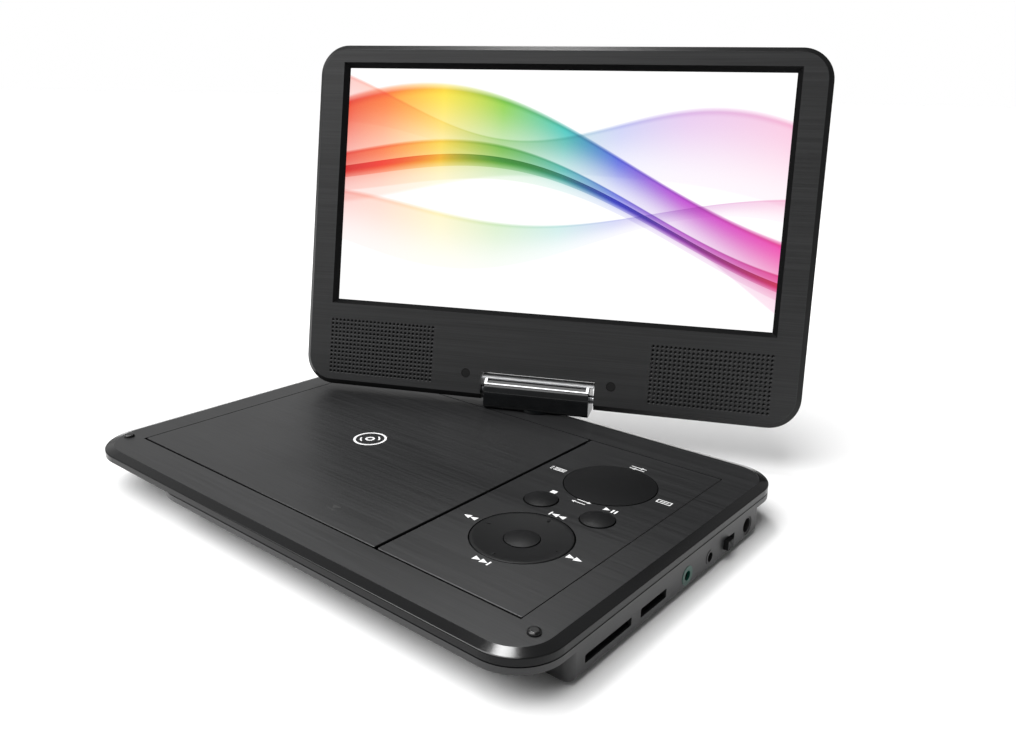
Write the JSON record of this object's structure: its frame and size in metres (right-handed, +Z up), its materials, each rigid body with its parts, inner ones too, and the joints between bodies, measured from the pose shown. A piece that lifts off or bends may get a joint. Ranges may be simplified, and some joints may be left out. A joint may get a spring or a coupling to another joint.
{
  "type": "portable disc player",
  "caption": "Clamshell portable disc player: flat base with disc door and key panel, and a wide screen lid on a swivel-and-tilt hinge",
  "frame": {"origin": "under the middle of the base, on the plane of its feet", "axes": "+X to the right along the base's long side, towards the socket wall; +Y to the back, towards the hinge; +Z up"},
  "size_m": [0.2433, 0.2431, 0.1826],
  "materials": {
    "deck_plastic": "charcoal, fine brushed texture",
    "shell_plastic": "black, fine grain",
    "lid_plastic": "charcoal, fine brushed texture",
    "key_plastic": "satin black",
    "hinge_gloss": "gloss black",
    "hinge_chrome": "bright plated",
    "steel": "zinc plated",
    "screw_steel": "blackened",
    "rubber": "soft, matte",
    "grey_plastic": "moulded, grey",
    "black_plastic": "moulded, black",
    "board_green": "solder mask",
    "ring_green": "moulded, green",
    "ring_grey": "moulded, dark grey",
    "silicone": "translucent grey",
    "battery_wrap": "shrink wrap, blue",
    "lens_glass": "clear, coated",
    "screen_glass": "lit display",
    "backlight_metal": "sheet metal, painted black",
    "speaker_frame": "black",
    "foam": "open-cell foam",
    "brass": "turned",
    "white_plastic": "moulded, natural white"
  },
  "bodies": {
    "base": {"base_top_deck": "deck_plastic", "base_bottom_shell": "shell_plastic", "casing_screws": "screw_steel", "rubber_feet": "rubber", "deck_bumpers": "rubber", "touch_latch": "white_plastic", "disc_well_tray": "black_plastic", "drive_chassis": "steel", "chassis_dampers": "rubber", "chassis_screws": "steel", "spindle_motor": "steel", "guide_rods": "steel", "sled_motor": "steel", "control_panel": "deck_plastic", "key_membrane": "silicone", "key_board": "board_green", "main_board": "board_green", "battery_pack": "battery_wrap", "headphone_jack": "black_plastic", "headphone_ring": "ring_green", "av_jack": "black_plastic", "av_ring": "ring_grey", "dc_jack": "black_plastic", "dc_pin": "brass", "card_socket": "steel", "short_slot_socket": "steel", "power_switch": "black_plastic", "swivel_washer": "steel", "swivel_plate": "steel"},
    "turret": {"swivel_collar": "hinge_gloss", "hinge_barrel": "hinge_gloss", "hinge_trim": "hinge_chrome", "hinge_pins": "steel", "swivel_nut": "steel"},
    "lid": {"lid_front_bezel": "lid_plastic", "lid_back_cover": "lid_plastic", "lid_screws": "screw_steel", "screw_plugs": "rubber", "lcd_panel": "screen_glass", "lcd_backlight": "backlight_metal", "lid_board": "board_green", "speaker_grilles": "lid_plastic", "speakers": "speaker_frame", "speaker_gaskets": "foam", "lid_brackets": "steel"},
    "door": {"disc_door": "deck_plastic", "door_hinge_pins": "steel"},
    "ring_pad": {"ring_pad": "key_plastic"},
    "ok_key": {"ok_key": "key_plastic"},
    "dome_pad": {"dome_pad": "key_plastic"},
    "stop_key": {"stop_key": "key_plastic"},
    "play_key": {"play_key": "key_plastic"},
    "power_knob": {"power_switch_knob": "key_plastic"},
    "spindle": {"spindle_hub": "black_plastic", "hub_claws": "white_plastic", "hub_pad": "rubber"},
    "sled": {"pickup_sled": "grey_plastic", "lens_actuator": "black_plastic", "pickup_lens": "lens_glass"},
    "lead_screw": {"lead_screw": "white_plastic"}
  },
  "joints": [
    {"name": "lid_swivel", "type": "hinge", "parent": "base", "child": "turret", "pos_m": [0, 0.077, 0.0255], "axis": [0, 0, -1], "range_deg": [-155.3, 24.7]},
    {"name": "lid_tilt", "type": "hinge", "parent": "turret", "child": "lid", "pos_m": [0, 0.077, 0.0255], "axis": [-0.9085, -0.4179, 0], "range_deg": [-102.2, 77.8]},
    {"name": "disc_door_hinge", "type": "hinge", "parent": "base", "child": "door", "pos_m": [-0.031, 0.0603, 0.0166], "axis": [-1, 0, 0], "range_deg": [0, 5.5]},
    {"name": "ring_pad_press", "type": "slide", "parent": "base", "child": "ring_pad", "axis": [0, 0, -1], "range_m": [0, 0.0006], "stiffness_N_per_m": 1500, "springref_m": -0.0003},
    {"name": "ok_key_press", "type": "slide", "parent": "base", "child": "ok_key", "axis": [0, 0, -1], "range_m": [0, 0.0006], "stiffness_N_per_m": 1500, "springref_m": -0.0003},
    {"name": "dome_pad_press", "type": "slide", "parent": "base", "child": "dome_pad", "axis": [0, 0, -1], "range_m": [0, 0.0006], "stiffness_N_per_m": 1500, "springref_m": -0.0003},
    {"name": "stop_key_press", "type": "slide", "parent": "base", "child": "stop_key", "axis": [0, 0, -1], "range_m": [0, 0.0006], "stiffness_N_per_m": 1500, "springref_m": -0.0003},
    {"name": "play_key_press", "type": "slide", "parent": "base", "child": "play_key", "axis": [0, 0, -1], "range_m": [0, 0.0006], "stiffness_N_per_m": 1500, "springref_m": -0.0003},
    {"name": "power_switch_slide", "type": "slide", "parent": "base", "child": "power_knob", "axis": [0, 1, 0], "range_m": [0, 0.0035]},
    {"name": "spindle_spin", "type": "hinge", "parent": "base", "child": "spindle", "pos_m": [-0.031, -0.0017, 0.0139], "axis": [0, 0, 1], "continuous": true},
    {"name": "sled_travel", "type": "slide", "parent": "base", "child": "sled", "axis": [-1, 0, 0], "range_m": [0, 0.032]},
    {"name": "lead_screw_turn", "type": "hinge", "parent": "base", "child": "lead_screw", "pos_m": [-0.07, 0.0253, 0.0092], "axis": [1, 0, 0], "range_deg": [0, 3840.1]}
  ],
  "couplings": [
    {"joint": "lead_screw_turn", "follows": "sled_travel", "rad_per_m": 2094.4}
  ]
}
